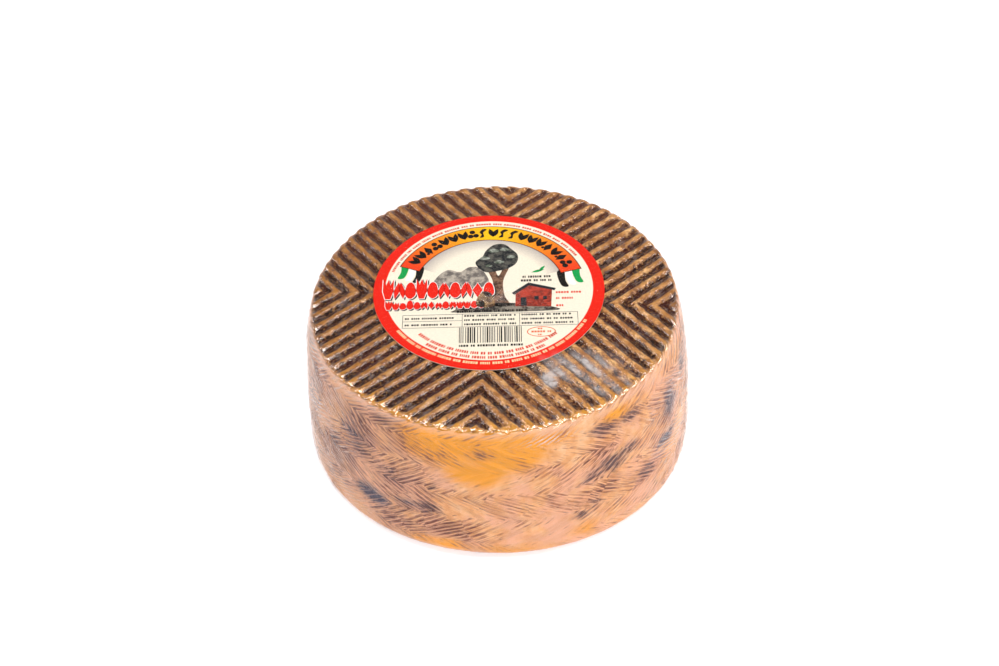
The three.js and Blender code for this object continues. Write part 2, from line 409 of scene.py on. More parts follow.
def srgb(code):
    """A linear colour from an sRGB hex code."""
    parts = [int(code[at:at + 2], 16) / 255 for at in (1, 3, 5)]
    return (*[p / 12.92 if p <= 0.04045 else ((p + 0.055) / 1.055) ** 2.4 for p in parts], 1.0)


def add(tree, kind, inputs=None, out=0, stops=(), **settings):
    """Adds a shader node with its settings, plain values, links and ramp stops, and gives one output."""
    made = tree.nodes.new("ShaderNode" + kind)
    for name, value in settings.items():
        setattr(made, name, value)
    for at, (place, code) in enumerate(stops):
        stop = made.color_ramp.elements[at] if at < 2 else made.color_ramp.elements.new(place)
        stop.position = place
        stop.color = srgb(code)
    for socket, value in (inputs or {}).items():
        if isinstance(value, bpy.types.NodeSocket):
            tree.links.new(value, made.inputs[socket])
        else:
            made.inputs[socket].default_value = value
    return None if out is None else made.outputs[out]


def new_material(name):
    """An empty node material and its tree."""
    made = bpy.data.materials.new(name)
    made.use_nodes = True
    made.node_tree.nodes.clear()
    return made, made.node_tree


# Cured, oiled and mould-ripened rind, pressed in grass: waxy tan crests, black and red-brown mould in the
# grooves, and a peach side with brown strokes along the strands. It has a dull sheen, and the film over it
# gives the gloss.
rind, tree = new_material("cured_oiled_rind")
where = add(tree, "TexCoord", out="Object")
value = {key: add(tree, "Attribute", out="Fac", attribute_name=key)
         for key in ("groove", "side", "crowd", "tone", "mould", "blue", "gold_and_glow", "brown_and_shade", "across")}

# Noise of four sizes, from the pits of the curd to broad clouds. In a colour Mix, socket 0 is the share of
# the colour in socket 7, laid over the colour in socket 6.
fray = add(tree, "TexNoise", {"Vector": where, "Scale": 1 / (1.1 * MM), "Detail": 3, "Roughness": 0.65})
drift = add(tree, "TexNoise", {"Vector": where, "Scale": 1 / (4.5 * MM), "Detail": 4, "Roughness": 0.6})
cloud = add(tree, "TexNoise", {"Vector": where, "Scale": 1 / (13 * MM), "Detail": 3, "Roughness": 0.55})
speck = add(tree, "TexNoise", {"Vector": where, "Scale": 1 / (0.6 * MM), "Detail": 2, "Roughness": 0.7})

# Crests: waxy tan with specks of dirt, browner on the left, partly as painted shade, and golden at the front
# of the rim, partly as a painted glow of light through the edge.
crest = add(tree, "ValToRGB", {0: drift}, stops=((0.34, "#9E683A"), (0.5, "#CC9256"), (0.66, "#EEBE82")))
dirt = add(tree, "MapRange", {0: speck, 1: 0.5, 2: 0.62, 3: 0.0, 4: 0.65})
crest = add(tree, "Mix", {0: dirt, 6: crest, 7: srgb("#6E4322")}, 2, data_type="RGBA")
left_tan_and_shade = add(tree, "Math", {0: value["brown_and_shade"], 1: 0.75}, operation="MULTIPLY")
crest = add(tree, "Mix", {0: left_tan_and_shade, 6: crest, 7: srgb("#A36C32")}, 2, data_type="RGBA")
crest = add(tree, "Mix", {0: value["gold_and_glow"], 6: crest, 7: srgb("#E09C38")}, 2, data_type="RGBA")

# Mould in the grooves: black and brown in streaks along them, with red clouds, grey smudges, a browner back
# and bare grit. Streaks are about 0.7 mm wide and 3 mm long.
flat_x = add(tree, "SeparateXYZ", {0: where}, 0)
flat_y = flat_x.node.outputs[1]
along = add(tree, "CombineXYZ", {0: add(tree, "Math", {0: value["across"], 1: 1.5}, operation="MULTIPLY"),
                                 1: add(tree, "Math", {0: flat_x, 1: 0.3 / MM}, operation="MULTIPLY"),
                                 2: add(tree, "Math", {0: flat_y, 1: 0.3 / MM}, operation="MULTIPLY")})
streaks = add(tree, "TexNoise", {"Vector": along, "Scale": 1, "Detail": 3, "Roughness": 0.65})
smudge = add(tree, "TexNoise", {"Vector": where, "Scale": 1 / (5 * MM), "Detail": 3, "Roughness": 0.6})
mould_tone = add(tree, "ValToRGB", {0: streaks},
                 stops=((0.36, "#100403"), (0.5, "#280F08"), (0.66, "#542916")))
red_mould = add(tree, "MapRange", {0: cloud, 1: 0.5, 2: 0.6, 3: 0.0, 4: 0.7})
mould_tone = add(tree, "Mix", {0: red_mould, 6: mould_tone, 7: srgb("#3A100F")}, 2, data_type="RGBA")
grey_mould = add(tree, "Math", {0: streaks, 1: smudge}, operation="ADD")
grey_mould = add(tree, "MapRange", {0: grey_mould, 1: 1.08, 2: 1.2, 3: 0.0, 4: 0.8})
mould_tone = add(tree, "Mix", {0: grey_mould, 6: mould_tone, 7: srgb("#6E5E5A")}, 2, data_type="RGBA")
far = add(tree, "MapRange", {0: flat_y, 1: 20 * MM, 2: 60 * MM, 3: 0.0, 4: 0.4})
mould_tone = add(tree, "Mix", {0: far, 6: mould_tone, 7: srgb("#64392C")}, 2, data_type="RGBA")
grit = add(tree, "TexNoise", {"Vector": where, "Scale": 1 / (0.85 * MM), "Detail": 2, "Roughness": 0.6})
bare = add(tree, "MapRange", {0: grit, 1: 0.41, 2: 0.33, 3: 0.0, 4: 0.85})
mould_tone = add(tree, "Mix", {0: bare, 6: mould_tone, 7: srgb("#A8763F")}, 2, data_type="RGBA")

# The mould's ragged edge on the walls of a groove, with a brown shoulder above it.
ragged = add(tree, "Math", {0: fray, 1: 2.4, 2: value["groove"]}, operation="MULTIPLY_ADD")
ragged = add(tree, "Math", {0: streaks, 1: 1.7, 2: ragged}, operation="MULTIPLY_ADD")
ragged = add(tree, "Math", {0: smudge, 1: 1.3, 2: ragged}, operation="MULTIPLY_ADD")
# The grooves' dark reaches a little further on the left, with the painted shade there.
ragged = add(tree, "Math", {0: value["brown_and_shade"], 1: 0.12, 2: ragged}, operation="MULTIPLY_ADD")
shoulder = add(tree, "MapRange", {0: ragged, 1: 2.7, 2: 3.05, 3: 0.0, 4: 0.85})
in_groove = add(tree, "MapRange", {0: ragged, 1: 3.12, 2: 3.32})
top_tone = add(tree, "Mix", {0: shoulder, 6: crest, 7: srgb("#855638")}, 2, data_type="RGBA")
top_tone = add(tree, "Mix", {0: in_groove, 6: top_tone, 7: mould_tone}, 2, data_type="RGBA")

# Side: peach curd with rosy clouds, browner on the left, partly as painted shade, golden in the sunny
# patches, and each strand in a tone of its own.
peach = add(tree, "ValToRGB", {0: drift}, stops=((0.3, "#D68E50"), (0.5, "#EAAA72"), (0.7, "#F4BF90")))
rosy = add(tree, "MapRange", {0: cloud, 1: 0.42, 2: 0.6, 3: 0.0, 4: 0.8})
peach = add(tree, "Mix", {0: rosy, 6: peach, 7: srgb("#E6A888")}, 2, data_type="RGBA")
shade = add(tree, "Math", {0: value["brown_and_shade"], 1: 0.5}, operation="MULTIPLY")
peach = add(tree, "Mix", {0: shade, 6: peach, 7: srgb("#CC9470")}, 2, data_type="RGBA")
peach = add(tree, "Mix", {0: value["gold_and_glow"], 6: peach, 7: srgb("#EE9A20")}, 2, data_type="RGBA")
tone = add(tree, "MapRange", {0: value["tone"], 1: -1.0, 2: 1.0, 3: 0.92, 4: 1.08})
peach = add(tree, "Mix", {0: 1.0, 6: peach, 7: tone}, 2, data_type="RGBA", blend_type="MULTIPLY")


def strands(tree, where):
    """The plait as the shader sees it: a strand number across the strands, and the height.

    Rows wander up and down a little. The strands lie in bunches, each of them straight and at its own lean.
    """
    drift = add(tree, "TexNoise", {"Vector": where, "Scale": 1 / (40 * MM), "Detail": 0})
    bunch = add(tree, "TexVoronoi", {"Vector": where, "Scale": 1 / (14 * MM)}, "Color")
    lean = add(tree, "SeparateXYZ", {0: bunch}, 0)
    bend, rise = lean.node.outputs[1:]
    x = add(tree, "SeparateXYZ", {0: where}, 0)
    y, z = x.node.outputs[1:]
    level = add(tree, "Math", {0: z, 1: 1 / MM, 2: -4.5}, operation="MULTIPLY_ADD")
    level = add(tree, "Math", {0: drift, 1: 5.0, 2: level}, operation="MULTIPLY_ADD")
    level = add(tree, "Math", {0: rise, 1: 4.0, 2: level}, operation="MULTIPLY_ADD")
    top_row = ROW_EDGE / ROW_HEIGHT
    row = add(tree, "Math", {0: level, 1: -1 / ROW_HEIGHT, 2: top_row}, operation="MULTIPLY_ADD")
    number = add(tree, "Math", {0: row}, operation="FLOOR")
    share = add(tree, "Math", {0: row}, operation="FRACT")
    folded = add(tree, "Math", {0: row, 1: 1.0}, operation="PINGPONG")
    slope = ROW_HEIGHT / math.tan(STRAND_LEAN) / MEAN_RADIUS * STRANDS / (2 * math.pi)
    to_front = add(tree, "Math", {0: y, 1: -1.0}, operation="MULTIPLY")
    turn = add(tree, "Math", {0: x, 1: to_front}, operation="ARCTAN2")
    place = add(tree, "Math", {0: turn, 1: STRANDS / (2 * math.pi)}, operation="MULTIPLY")
    place = add(tree, "Math", {0: folded, 1: -slope, 2: place}, operation="MULTIPLY_ADD")
    place = add(tree, "Math", {0: number, 1: 17.4, 2: place}, operation="MULTIPLY_ADD")
    place = add(tree, "Math", {0: bend, 1: 3.0, 2: place}, operation="MULTIPLY_ADD")
    lean = add(tree, "Math", {0: lean, 1: 0.5}, operation="SUBTRACT")
    from_middle = add(tree, "Math", {0: share, 1: 0.5}, operation="SUBTRACT")
    lean = add(tree, "Math", {0: lean, 1: from_middle}, operation="MULTIPLY")
    place = add(tree, "Math", {0: lean, 1: 4.0, 2: place}, operation="MULTIPLY_ADD")
    return place, level


def lines(tree, strand, level, per_strand, length, reach):
    """Straight broken lines along the strands: how many to a strand, their usual length, and their width."""
    count = add(tree, "Math", {0: strand, 1: per_strand}, operation="MULTIPLY")
    number = add(tree, "Math", {0: count}, operation="ROUND")
    off = add(tree, "Math", {0: count, 1: number}, operation="SUBTRACT")
    off = add(tree, "Math", {0: off}, operation="ABSOLUTE")
    profile = add(tree, "MapRange", {0: off, 1: reach, 2: reach * 0.35, 3: 0.0, 4: 1.0})
    apart = add(tree, "Math", {0: number, 1: 7.31}, operation="MULTIPLY")
    along = add(tree, "Math", {0: level, 1: 1 / length}, operation="MULTIPLY")
    place = add(tree, "CombineXYZ", {0: apart, 1: along})
    broken = add(tree, "TexNoise", {"Vector": place, "Scale": 1, "Detail": 2, "Roughness": 0.5})
    return add(tree, "Math", {0: broken, 1: profile}, operation="MULTIPLY")


# Strokes: mould in the fine lines between the strands, soft where they are thin and dark where they crowd,
# and stains that run together, with a pinkish or bluish halo.
strand, level = strands(tree, where)
main_lines = lines(tree, strand, level, 1.0, 3.4, 0.42)
fine_lines = lines(tree, strand, level, 2.3, 2.4, 0.42)
fine_lines = add(tree, "Math", {0: fine_lines, 1: 0.9}, operation="MULTIPLY")
threads = add(tree, "Math", {0: main_lines, 1: fine_lines}, operation="MAXIMUM")
halo = add(tree, "MapRange", {0: value["mould"], 1: 0.1, 2: 0.9, 3: 0.0, 4: 0.5})
halo_tone = add(tree, "Mix", {0: value["blue"], 6: srgb("#93605C"), 7: srgb("#6A6472")}, 2, data_type="RGBA")
side_tone = add(tree, "Mix", {0: halo, 6: peach, 7: halo_tone}, 2, data_type="RGBA")
strokes = add(tree, "Math", {0: value["crowd"], 1: 0.36, 2: threads}, operation="MULTIPLY_ADD")
strokes = add(tree, "Math", {0: drift, 1: 0.5, 2: strokes}, operation="MULTIPLY_ADD")
soft_strokes = add(tree, "MapRange", {0: strokes, 1: 0.73, 2: 0.97, 3: 0.0, 4: 0.75})
# Strokes on the left are darker and purpler, with the painted shade there.
soft_tone = add(tree, "Mix", {0: value["brown_and_shade"], 6: srgb("#A8643E"), 7: srgb("#7E504C")}, 2, data_type="RGBA")
side_tone = add(tree, "Mix", {0: soft_strokes, 6: side_tone, 7: soft_tone}, 2, data_type="RGBA")
dark_strokes = add(tree, "MapRange", {0: strokes, 1: 0.96, 2: 1.16, 3: 0.0, 4: 0.9})
side_tone = add(tree, "Mix", {0: dark_strokes, 6: side_tone, 7: srgb("#5E2A24")}, 2, data_type="RGBA")
stain = add(tree, "Mix", {0: value["blue"], 6: srgb("#43242A"), 7: srgb("#2C2F48")}, 2, data_type="RGBA")
loose = add(tree, "Math", {0: threads, 1: 1.7, 2: value["mould"]}, operation="MULTIPLY_ADD")
loose = add(tree, "Math", {0: fray, 1: 1.0, 2: loose}, operation="MULTIPLY_ADD")
stained = add(tree, "MapRange", {0: loose, 1: 1.55, 2: 2.25, 3: 0.0, 4: 0.92})
side_tone = add(tree, "Mix", {0: stained, 6: side_tone, 7: stain}, 2, data_type="RGBA")

# Pits, grain and the lines of the plait as fine relief.
colour = add(tree, "Mix", {0: value["side"], 6: top_tone, 7: side_tone}, 2, data_type="RGBA")
bump = add(tree, "Bump", {"Strength": 0.5, "Distance": 0.3 * MM, "Height": fray})
bump = add(tree, "Bump", {"Strength": 0.35, "Distance": 0.1 * MM, "Height": speck, "Normal": bump})
pressed_in = add(tree, "Math", {0: threads, 1: value["side"]}, operation="MULTIPLY")
bump = add(tree, "Bump", {"Strength": 0.6, "Distance": -0.3 * MM, "Height": pressed_in, "Normal": bump})
surface = add(tree, "BsdfPrincipled", {"Base Color": colour, "Roughness": 0.38, "Specular IOR Level": 0.07,
                                       "Normal": bump})
add(tree, "OutputMaterial", {"Surface": surface}, None)
cheese.data.materials.append(rind)

# The label: a round of gloss-coated cream paper that lies on the ridges under the film, printed by offset in
# reds, oranges and black with plain ornament. Each coat of ink is a thin layer of its own on the paper.
PAPER_BOTTOM = 70.3
PAPER_TOP = 70.62
PAPER_RADIUS = 47.6
LABEL_TURN = math.radians(-1)
INK = 0.012
BORDER_INNER = 42.9
BORDER_SHIFT = 0.8
BANNER_INNER = 31.5
BANNER_OUTER = 39.9
BANNER_LINE = 0.4
SHADOW_INNER = 24.5
SHADOW_OUTER = 31.2


def on_label(x, y):
    """A point of the label's own axes in the wheel's."""
    cos, sin = math.cos(LABEL_TURN), math.sin(LABEL_TURN)
    return LABEL_CENTRE[0] + x * cos - y * sin, LABEL_CENTRE[1] + x * sin + y * cos


class Print:
    """Flat closed shapes of one colour on the label, from one height to another."""

    def __init__(self, low, high):
        self.low, self.high = low, high
        self.points, self.faces, self.shades = [], [], []

    def add_point(self, x, y, z, shade=0.0):
        self.points.append([c * MM for c in (*on_label(x, y), z)])
        self.shades.append(shade)

    def shape(self, outline):
        """One shape from its outline."""
        area = sum(a[0] * b[1] - b[0] * a[1] for a, b in zip(outline, outline[1:] + outline[:1]))
        if area < 0:
            outline = outline[::-1]
        start, count = len(self.points), len(outline)
        for z in (self.low, self.high):
            for x, y in outline:
                self.add_point(x, y, z)
        self.faces.append(list(range(start + count, start + 2 * count)))
        self.faces.append(list(range(start + count - 1, start - 1, -1)))
        for at in range(count):
            after = (at + 1) % count
            self.faces.append([start + at, start + after, start + count + after, start + count + at])

    def band(self, inner, outer, start, end, steps, centre=(0.0, 0.0), shade=None):
        """A ring, or a part of one between two angles in degrees. The inner edge may have its own centre."""
        whole = end - start >= 360
        base, stations = len(self.points), steps if whole else steps + 1
        for at in range(stations):
            degrees = start + (end - start) * at / steps
            cos, sin = math.cos(math.radians(degrees)), math.sin(math.radians(degrees))
            for radius, (cx, cy) in ((inner, centre), (outer, (0.0, 0.0))):
                for z in (self.low, self.high):
                    self.add_point(cx + radius * cos, cy + radius * sin, z, shade(degrees) if shade else 0.0)
        for at in range(steps):
            a, b = base + 4 * at, base + 4 * ((at + 1) % stations)
            self.faces += [[a + 1, a + 3, b + 3, b + 1], [a, b, b + 2, a + 2],
                           [a, a + 1, b + 1, b], [a + 2, b + 2, b + 3, a + 3]]
        if not whole:
            last = base + 4 * steps
            self.faces += [[base, base + 2, base + 3, base + 1], [last, last + 1, last + 3, last + 2]]

    def piece(self, name, material):
        """The finished piece, riding with the wheel."""
        made = bpy.data.meshes.new(name)
        made.from_pydata(self.points, [], self.faces)
        layer = made.attributes.new("shade", "FLOAT", "POINT")
        layer.data.foreach_set("value", np.array(self.shades, np.float32))
        made.materials.append(material)
        made.validate()
        shown = bpy.data.objects.new(name, made)
        bpy.context.collection.objects.link(shown)
        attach(shown, "root")
        return shown


def oval(x, y, half_width, half_height, turn=0.0, steps=20):
    """The outline of an ellipse."""
    cos, sin = math.cos(math.radians(turn)), math.sin(math.radians(turn))
    turns = [2 * math.pi * at / steps for at in range(steps)]
    ends = [(half_width * math.cos(at), half_height * math.sin(at)) for at in turns]
    return [(x + a * cos - b * sin, y + a * sin + b * cos) for a, b in ends]


def leaf(x, y, length, width, turn):
    """The outline of a pointed leaf."""
    cos, sin = math.cos(math.radians(turn)), math.sin(math.radians(turn))
    shares = (0, 0.12, 0.3, 0.5, 0.7, 0.88, 1)
    edge = [(length * (t - 0.5), width / 2 * math.sin(math.pi * t)) for t in shares]
    edge += [(a, -b) for a, b in edge[-2:0:-1]]
    return [(x + a * cos - b * sin, y + a * sin + b * cos) for a, b in edge]


def box(x0, y0, x1, y1):
    """The outline of an upright rectangle."""
    return [(x0, y0), (x1, y0), (x1, y1), (x0, y1)]


def blob(*corners, steps=5):
    """A smooth closed outline through some points."""
    outline = []
    for at in range(len(corners)):
        p0, p1, p2, p3 = [np.array(corners[(at + k) % len(corners)], float) for k in range(-1, 3)]
        for step in range(steps):
            t = step / steps
            spot = 0.5 * (2 * p1 + (p2 - p0) * t + (2 * p0 - 5 * p1 + 4 * p2 - p3) * t ** 2
                          + (3 * p1 - p0 - 3 * p2 + p3) * t ** 3)
            outline.append((float(spot[0]), float(spot[1])))
    return outline


def grown(outline, by):
    """An outline pushed out from its own middle by about a distance."""
    middle = np.mean(outline, 0)
    half = (np.max(outline, 0) - np.min(outline, 0)) / 2
    return [tuple(middle + (np.array(p) - middle) * (1 + by / half)) for p in outline]


def dashes(ink, along, length, height):
    """Blocks with small gaps, in groups, as plain as a row of print seen from too far off to read."""
    at = 0.0
    while at < length:
        for _ in range(printer.randint(2, 7)):
            width = printer.uniform(0.45, 0.95)
            if at + width > length:
                return
            ink.shape([along(at, 0), along(at + width, 0), along(at + width, height), along(at, height)])
            at += width + 0.28
        at += 0.75


def on_line(x, y):
    """Places along a level line that starts at a point."""
    return lambda along, out: (x + along, y + out)


def on_arc(radius, start, way):
    """Places along a circle, from an angle in degrees, clockwise (-1) or anticlockwise (1)."""
    def spot(along, out):
        angle = math.radians(start) + way * along / radius
        reach = radius - way * out
        return reach * math.cos(angle), reach * math.sin(angle)
    return spot


printer = random.Random(5)
paper = Print(PAPER_BOTTOM, PAPER_TOP)
paper.band(0.0, PAPER_RADIUS, 0, 360, 180)
COATS = "paper first second third fourth".split()
LEVELS = {name: PAPER_TOP + INK * at for at, name in enumerate(COATS)}


def sheet_of(first, last):
    """An empty layer of ink from the top of one coat to the top of another."""
    return Print(LEVELS[first], LEVELS[last])


red = sheet_of("paper", "first")
red.band(BORDER_INNER, PAPER_RADIUS, 0, 360, 180, centre=(0.0, BORDER_SHIFT))
pale = sheet_of("first", "second")
dashes(pale, on_arc(44.4, -147, 1), 93, 1.3)

fine_red = sheet_of("paper", "first")
dashes(fine_red, on_arc(41.2, 163, -1), 97, 1.1)
dashes(fine_red, on_arc(38.9, -137, 1), 63, 1.5)
dashes(fine_red, on_arc(41.3, -128, 1), 52, 1.5)
for x, y, length in ((27.5, -3.6, 11), (27.5, -7.2, 8), (27.4, -11.6, 3)):
    dashes(fine_red, on_line(x, y), length, 1.2)

# The banner: an arched ribbon of sunset colours, yellow in its middle, over a soft shadow, with small motifs.
under_banner = Print(PAPER_TOP, PAPER_TOP + 0.7 * INK)
under_banner.band(SHADOW_INNER, SHADOW_OUTER, 19, 154, 60)
banner_edge = sheet_of("paper", "first")
banner_edge.band(BANNER_INNER - BANNER_LINE, BANNER_OUTER + BANNER_LINE, 16.4, 157.6, 70)
banner = sheet_of("first", "second")
banner.band(BANNER_INNER, BANNER_OUTER, 17, 157, 70, shade=lambda degrees: abs(degrees - 87) / 70)

black = sheet_of("second", "third")
for at in range(19):
    degrees = 149 - at * 124 / 18
    spot = on_arc(35.8, degrees, -1)
    kind = printer.choice(("leaves", "lozenge", "berries", "scroll"))
    if kind == "leaves":
        black.shape(leaf(*spot(-0.75, 0.2), 5.6, 2.3, degrees + 20))
        black.shape(leaf(*spot(1.05, 0.2), 5.6, 2.3, degrees - 20))
    elif kind == "lozenge":
        black.shape(oval(*spot(0, 0), 2.9, 1.6, degrees, 4))
        black.shape(oval(*spot(-1.6, -1.5), 0.7, 0.7, degrees, 12))
    elif kind == "scroll":
        bends = ((-1.6, -2.6), (0.4, -2.2), (0.2, 0.6), (1.7, 2.4), (0.2, 2.9), (-1.3, 1.0), (-0.6, -0.8))
        black.shape(blob(*[spot(a, b) for a, b in bends]))
    else:
        for along, out, size in ((0, 1.4, 1.25), (-1.2, -1.1, 1.25), (1.2, -1.1, 1.25)):
            black.shape(oval(*spot(along, out), size, size, degrees, 12))

# Below: a ruled grid with rows of blocks in it, and bars of unequal width.
for x0, y0, x1, y1 in ((-35, -15.1, 36, -14.9), (-35, -22.7, 36, -22.5), (-35, -22.7, -34.8, -14.9),
                       (35.8, -22.7, 36, -14.9), (-10.9, -22.7, -10.7, -14.9), (12.3, -22.7, 12.5, -14.9),
                       (-35, -18.9, -10.8, -18.7)):
    black.shape(box(x0, y0, x1, y1))
dashes(black, on_line(-13, -14.2), 28.6, 1.5)
for x, length in ((-34, 20), (-10, 21), (13.2, 21)):
    for y in (-17.6, -21.4) if x < -30 else (-16.6, -19.1, -21.6):
        dashes(black, on_line(x, y), length, 1.0)
x = -12.0
while x < 13.4:
    width = printer.choice((0.3, 0.3, 0.6))
    black.shape(box(x, -32.0, x + width, -22.9))
    x += width + printer.choice((0.35, 0.5, 0.8))
dashes(black, on_line(-12, -34.2), 25.5, 1.2)

# Ribbon tails at the banner's ends, and two leaves.
green = sheet_of("paper", "first")
white = sheet_of("paper", "first")
ribbon_black = sheet_of("paper", "first")
for side_sign, (x, y), lean in ((-1, (-31.4, 10.2), 8), (1, (32.7, 5.5), -14)):
    for at, ink in ((0, ribbon_black), (1, white), (2, green)):
        left = x + side_sign * (at * 3.1 - 4.4)
        drop = 1.3 * at
        ink.shape(blob((left, y + 4 + drop), (left + side_sign * 3, y + 5.2 + drop),
                       (left + side_sign * 3.4, y - 1 + drop), (left + side_sign * 4.6, y - 5 + drop),
                       (left + side_sign * 1.6, y - 4.2 + drop)))
green.shape(leaf(20.4, 10.6, 5.6, 1.5, 18))
green.shape(leaf(22.2, 12.2, 4.2, 1.3, 52))
dashes(black, on_line(14, 6.4), 12, 1.3)
dashes(black, on_line(13.3, 4.1), 14, 1.3)

# A hill farm, as such labels often show: a hill, a holm oak, a barn and a hay stack.
slate = sheet_of("paper", "first")
slate.shape(blob((-22, 3), (-21.5, 8), (-17, 12.5), (-12, 11), (-8, 14), (-3, 12.5), (0, 3), (-9, 1)))
shadow = sheet_of("first", "second")
shadow.shape(blob((-14, -12.5), (-9, -9.5), (4, -8.5), (16, -9.8), (27, -12), (25, -14), (-12, -14)))
crown = sheet_of("second", "third")
crown.shape(blob((-4, 13), (-5.5, 17), (-2.6, 20.5), (-1, 24.5), (2.4, 28), (6.6, 28.2), (9.6, 25),
                 (12.2, 21), (11.6, 16), (8, 12.6), (3, 11), (-1, 10.5)))
trunk = sheet_of("first", "second")
trunk.shape(blob((0.5, -10), (2.3, -4), (1.6, 5), (-0.4, 12), (2, 14), (4, 8), (6.5, 14), (8.4, 13), (6, 5),
                 (6.4, -4), (8.6, -10.5)))
barn = sheet_of("second", "third")
barn.shape([(10.8, -11), (11, -2), (16.6, 2.4), (26, -1.2), (25.4, -11.5)])
roof = sheet_of("third", "fourth")
roof.shape([(9.4, -2.8), (16.4, 3.4), (27.6, -0.4), (27, -1.8), (16.6, 1.6), (10.4, -4)])
for x0, y0, x1, y1 in ((13, -10.9, 15.4, -5.6), (18.6, -7.2, 20.4, -5), (22.2, -7.2, 23.8, -5.2)):
    roof.shape(box(x0, y0, x1, y1))
olive = sheet_of("third", "fourth")
for x, y, size in ((-1.6, 19, 2.2), (2.2, 23.6, 2.4), (6.8, 24.4, 2.1),
                   (9.4, 19.6, 1.9), (4.4, 16.4, 2.1), (0, 14.2, 1.5)):
    olive.shape(blob((x - size, y), (x - size * 0.2, y + size * 0.8),
                     (x + size, y + 0.4), (x + size * 0.2, y - 0.5)))
hay = sheet_of("third", "fourth")
hay.shape(blob((-4.6, -10.6), (-4.8, -5.6), (-2.4, -1.6), (0.4, -2.2), (1.8, -5.6), (2, -10.6)))


def motif(kind, x, y, wide, tall):
    """The outlines of one garden motif round a point, for a row with motifs that far apart."""
    top, bottom = y + tall / 2, y - tall / 2
    if kind == "bud":
        return [blob((x, bottom), (x + wide * 0.46, y - tall * 0.25), (x + wide * 0.36, y + tall * 0.3),
                     (x, top), (x - wide * 0.36, y + tall * 0.3), (x - wide * 0.46, y - tall * 0.25))]
    if kind == "lozenge":
        return [[(x, bottom), (x + wide * 0.46, y), (x, top), (x - wide * 0.46, y)]]
    if kind == "leaves":
        return [leaf(x - wide * 0.22, y, tall, wide * 0.5, 82),
                leaf(x + wide * 0.24, y, tall, wide * 0.5, 98)]
    half = [(0.24, bottom), (0.48, y - tall * 0.1), (0.48, top), (0.2, y + tall * 0.2)]
    right = [(x + wide * share, level) for share, level in half]
    left = [(x - wide * share, level) for share, level in half[::-1]]
    return [[*right, (x, top), *left]]


# The frieze: a tall and a low row of red motifs over the border, each with a white edge and a dark shadow.
frieze_dark = sheet_of("first", "second")
frieze_white = sheet_of("second", "third")
frieze_red = sheet_of("third", "fourth")
MOTIFS = "tulip leaves bud tulip bud leaves bud leaves lozenge bud".split()
SHADOW_OFFSET = 0.5
for low, high, first, last, count, stride, edge in ((-5.0, 7.3, -41.5, 0.0, 10, 1, 0.3),
                                                    (-11.5, -5.9, -41.0, -3.0, 14, 3, 0.2)):
    step = (last - first) / (count - 1)
    for at in range(count):
        tall = (high - low) * (1.0 if at in (0, 3) else printer.uniform(0.72, 0.86))
        kind = MOTIFS[at * stride % len(MOTIFS)]
        for outline in motif(kind, first + step * at, low + tall / 2, step, tall):
            frieze_dark.shape([(a + SHADOW_OFFSET, b - SHADOW_OFFSET) for a, b in grown(outline, edge)])
            frieze_white.shape(grown(outline, edge))
            frieze_red.shape(outline)

# The stamp: an oval line that is left open at one end, with three rows of blocks.
STAMP_X, STAMP_Y = 21, -26.3
stamp = sheet_of("paper", "first")
turns = [math.radians(at * 358 / 40 + 1) for at in range(41)]
outer = [(STAMP_X + 5.8 * math.cos(turn), STAMP_Y + 3.0 * math.sin(turn)) for turn in turns]
inner = [(STAMP_X + (x - STAMP_X) * 0.93, STAMP_Y + (y - STAMP_Y) * 0.87) for x, y in outer[::-1]]
stamp.shape(outer + inner)
dashes(stamp, on_line(17, -26.8), 8, 1.1)
dashes(stamp, on_line(19.6, -25.0), 3, 0.9)
dashes(stamp, on_line(19.6, -28.5), 3, 0.9)


def offset_ink(name, code, second=None, painted=None, faded=None):
    """Offset ink on coated paper: a colour with faint mottle and a silky gloss.

    It may run through other colours along the print, be painted in two, or fade into one towards the middle.
    The mottle and the paper's grain are finer in the real label, and are drawn this coarse to show.
    """
    made, tree = new_material(name)
    place = add(tree, "TexCoord", out="Object")
    mottle = add(tree, "TexNoise", {"Vector": place, "Scale": 1 / (0.7 * MM), "Detail": 2})
    tone = srgb(code)
    if second:
        share = add(tree, "Attribute", out="Fac", attribute_name="shade")
        tone = add(tree, "ValToRGB", {0: share}, stops=((0.05, code), (0.5, second[0]), (0.95, second[1])))
    if painted:
        brushed = add(tree, "TexNoise", {"Vector": place, "Scale": 1 / (2.4 * MM), "Detail": 3,
                                         "Roughness": 0.6})
        tone = add(tree, "ValToRGB", {0: brushed}, stops=((0.4, code), (0.62, painted)))
    if faded:
        middle = (*(LABEL_CENTRE * MM), PAPER_TOP * MM)
        away = add(tree, "VectorMath", {0: place, 1: middle}, operation="SUBTRACT")
        away = add(tree, "VectorMath", {0: away}, "Value", operation="LENGTH")
        share = add(tree, "MapRange", {0: away, 1: SHADOW_INNER * MM, 2: SHADOW_OUTER * MM})
        tone = add(tree, "Mix", {0: share, 6: srgb(faded), 7: srgb(code)}, 2, data_type="RGBA")
    level = add(tree, "MapRange", {0: mottle, 1: 0.3, 2: 0.7, 3: 0.93, 4: 1.05})
    tone = add(tree, "Mix", {0: 1.0, 6: tone, 7: level}, 2, data_type="RGBA", blend_type="MULTIPLY")
    grain = add(tree, "TexNoise", {"Vector": place, "Scale": 1 / (0.35 * MM), "Detail": 2})
    bump = add(tree, "Bump", {"Strength": 0.15, "Distance": 0.02 * MM, "Height": grain})
    surface = add(tree, "BsdfPrincipled", {"Base Color": tone, "Roughness": 0.45, "Specular IOR Level": 0.15,
                                           "Normal": bump})
    add(tree, "OutputMaterial", {"Surface": surface}, None)
    return made


